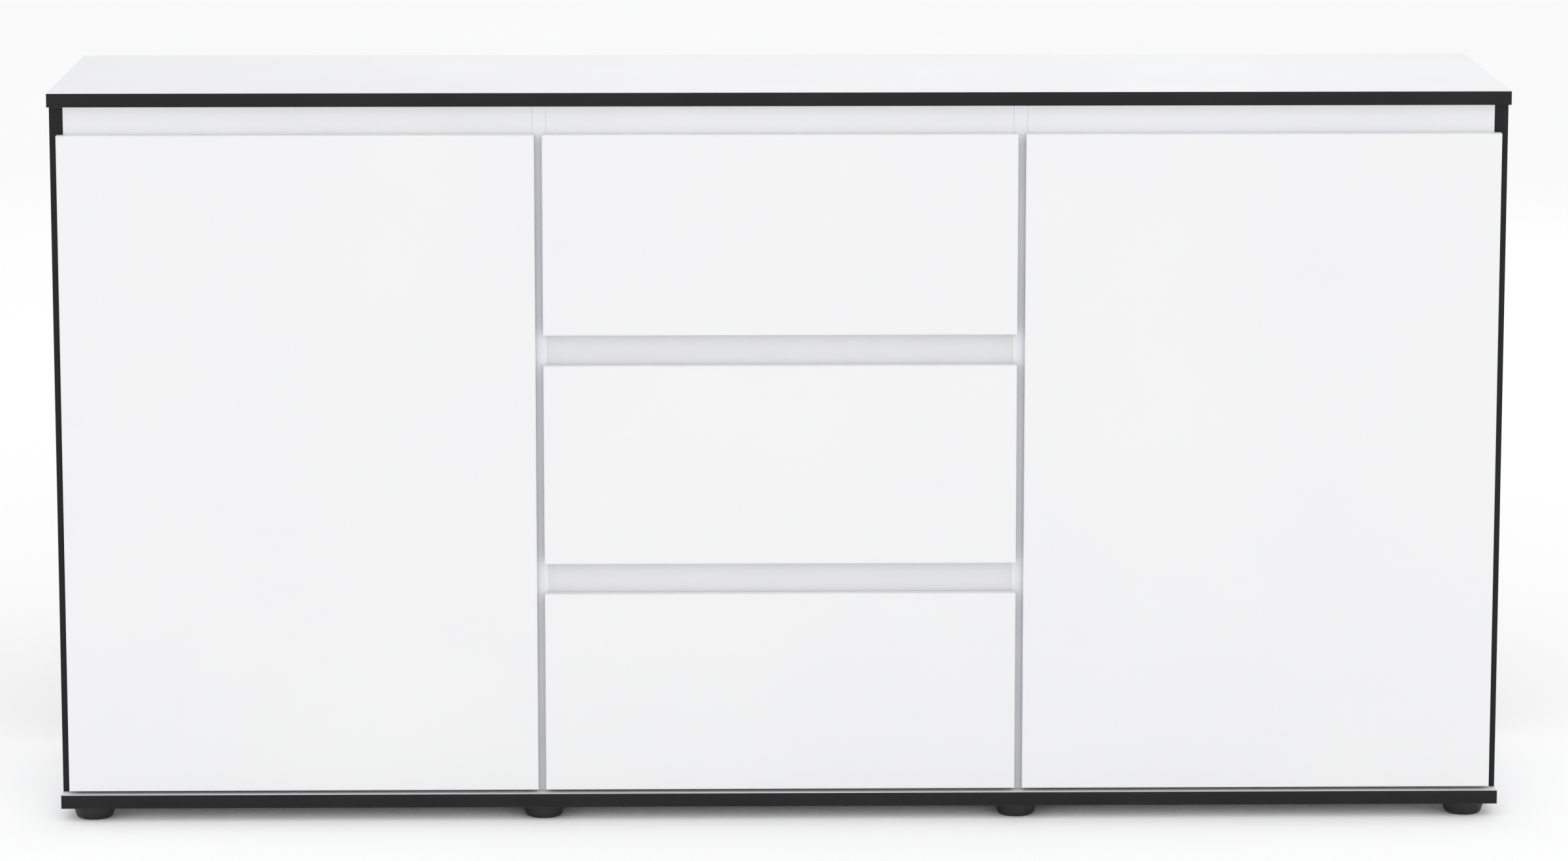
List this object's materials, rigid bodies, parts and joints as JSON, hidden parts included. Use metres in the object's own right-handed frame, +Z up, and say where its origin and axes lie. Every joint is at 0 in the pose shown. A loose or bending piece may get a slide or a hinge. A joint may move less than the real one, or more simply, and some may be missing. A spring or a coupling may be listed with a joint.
{
  "type": "sideboard buffet",
  "caption": "White sideboard with a door at each end, a stack of drawers between them, finger grip recesses instead of handles, dark front edges and round feet.",
  "frame": {"origin": "on the floor, at the centre of the footprint", "axes": "+X along the width, to the right seen from the front; +Y from the fronts to the back; +Z up"},
  "size_m": [1.6, 0.4, 0.815],
  "materials": {
    "white_melamine": "white melamine on particle board, black edge band at the front",
    "white_rail": "white melamine on particle board",
    "white_front": "smooth white front board, white edge band",
    "drawer_foil": "pale grey foil on particle board",
    "back_foil": "white foil on thin hardboard",
    "black_plastic": "satin black",
    "white_steel": "white powder coat",
    "nickel_steel": "nickel plated"
  },
  "bodies": {
    "cabinet": {"top_panel": "white_melamine", "base_panel": "white_melamine", "side_left": "white_melamine", "side_right": "white_melamine", "partition_left": "white_melamine", "partition_right": "white_melamine", "shelf_left": "white_melamine", "shelf_right": "white_melamine", "top_rail_left": "white_rail", "top_rail_centre": "white_rail", "top_rail_right": "white_rail", "drawer_rail_lower": "white_rail", "drawer_rail_upper": "white_rail", "back_panel_left": "back_foil", "back_panel_centre": "back_foil", "back_panel_right": "back_foil", "foot_front_left": "black_plastic", "foot_front_centre_left": "black_plastic", "foot_front_centre_right": "black_plastic", "foot_front_right": "black_plastic", "foot_rear_left": "black_plastic", "foot_rear_centre_left": "black_plastic", "foot_rear_centre_right": "black_plastic", "foot_rear_right": "black_plastic", "runner_lower_left": "white_steel", "runner_lower_right": "white_steel", "runner_middle_left": "white_steel", "runner_middle_right": "white_steel", "runner_upper_left": "white_steel", "runner_upper_right": "white_steel", "hinge_arm_left_lower": "nickel_steel", "hinge_arm_left_upper": "nickel_steel", "hinge_arm_right_lower": "nickel_steel", "hinge_arm_right_upper": "nickel_steel"},
    "left_door": {"door_left": "white_front", "hinge_cup_left_lower": "nickel_steel", "hinge_cup_left_upper": "nickel_steel"},
    "right_door": {"door_right": "white_front", "hinge_cup_right_lower": "nickel_steel", "hinge_cup_right_upper": "nickel_steel"},
    "left_hinge_links": {"hinge_link_left_lower": "nickel_steel", "hinge_link_left_upper": "nickel_steel"},
    "right_hinge_links": {"hinge_link_right_lower": "nickel_steel", "hinge_link_right_upper": "nickel_steel"},
    "lower_drawer": {"drawer_lower_front": "white_front", "drawer_lower_side_left": "drawer_foil", "drawer_lower_side_right": "drawer_foil", "drawer_lower_bottom": "drawer_foil", "drawer_lower_back": "drawer_foil"},
    "middle_drawer": {"drawer_middle_front": "white_front", "drawer_middle_side_left": "drawer_foil", "drawer_middle_side_right": "drawer_foil", "drawer_middle_bottom": "drawer_foil", "drawer_middle_back": "drawer_foil"},
    "upper_drawer": {"drawer_upper_front": "white_front", "drawer_upper_side_left": "drawer_foil", "drawer_upper_side_right": "drawer_foil", "drawer_upper_bottom": "drawer_foil", "drawer_upper_back": "drawer_foil"}
  },
  "joints": [
    {"name": "left_door_hinge", "type": "hinge", "parent": "cabinet", "child": "left_door", "pos_m": [-0.791, -0.1965, 0.4015], "axis": [0, 0, -1], "range_deg": [0, 95]},
    {"name": "left_link_pivot", "type": "hinge", "parent": "cabinet", "child": "left_hinge_links", "pos_m": [-0.7769, -0.18375, 0.4015], "axis": [0, 0, -1], "range_deg": [0, 95]},
    {"name": "right_door_hinge", "type": "hinge", "parent": "cabinet", "child": "right_door", "pos_m": [0.791, -0.1965, 0.4015], "axis": [0, 0, 1], "range_deg": [0, 95]},
    {"name": "right_link_pivot", "type": "hinge", "parent": "cabinet", "child": "right_hinge_links", "pos_m": [0.7769, -0.18375, 0.4015], "axis": [0, 0, 1], "range_deg": [0, 95]},
    {"name": "lower_drawer_slide", "type": "slide", "parent": "cabinet", "child": "lower_drawer", "axis": [0, -1, 0], "range_m": [0, 0.27]},
    {"name": "middle_drawer_slide", "type": "slide", "parent": "cabinet", "child": "middle_drawer", "axis": [0, -1, 0], "range_m": [0, 0.27]},
    {"name": "upper_drawer_slide", "type": "slide", "parent": "cabinet", "child": "upper_drawer", "axis": [0, -1, 0], "range_m": [0, 0.27]}
  ],
  "couplings": [
    {"joint": "left_link_pivot", "follows": "left_door_hinge", "ratio": 1},
    {"joint": "right_link_pivot", "follows": "right_door_hinge", "ratio": 1}
  ]
}
